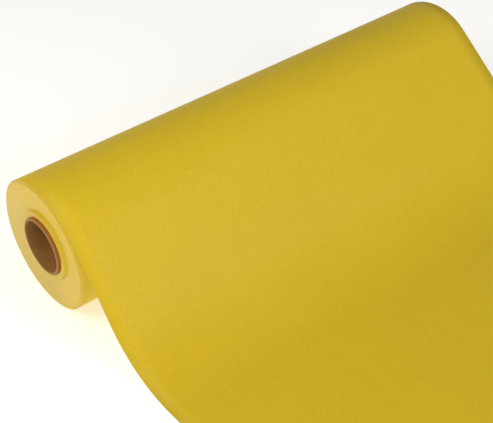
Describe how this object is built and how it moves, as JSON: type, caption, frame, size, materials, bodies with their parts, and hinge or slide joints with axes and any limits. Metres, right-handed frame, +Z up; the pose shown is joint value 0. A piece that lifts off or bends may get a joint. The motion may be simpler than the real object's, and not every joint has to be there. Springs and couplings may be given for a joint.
{
  "type": "roll of sign vinyl",
  "caption": "Roll of yellow self-adhesive sign vinyl wound on a hollow paperboard core, with its lead curving off the roll and lying flat in front of it.",
  "frame": {"origin": "on the core bore's axis, halfway along the web's width", "axes": "+X along the roll's axis, away from the end that the core stands out of; the lead runs towards -Y; +Z up"},
  "size_m": [0.7704, 0.6947, 0.1893],
  "materials": {
    "film": "matte",
    "liner": "cream, silicone-coated paper",
    "wound_web": "slit edges of film and liner",
    "core_board": "grey-brown spiral-wound board",
    "core_wrap": "kraft outer ply",
    "tape": "matte"
  },
  "bodies": {
    "web": {"last_lap_film": "film", "last_lap_liner": "liner", "lead_film": "film", "lead_liner": "liner"},
    "roll": {"core_inner_ply": "core_board", "core_ply_2": "core_board", "core_ply_3": "core_board", "core_ply_4": "core_board", "core_ply_5": "core_board", "core_outer_ply": "core_wrap", "start_tape": "tape", "first_laps": "wound_web", "inner_laps": "wound_web", "middle_laps": "wound_web", "outer_laps": "wound_web"}
  },
  "joints": [
    {"name": "roll_spin", "type": "hinge", "parent": "web", "child": "roll", "pos_m": [0, 0, 0], "axis": [1, 0, 0], "continuous": true}
  ]
}
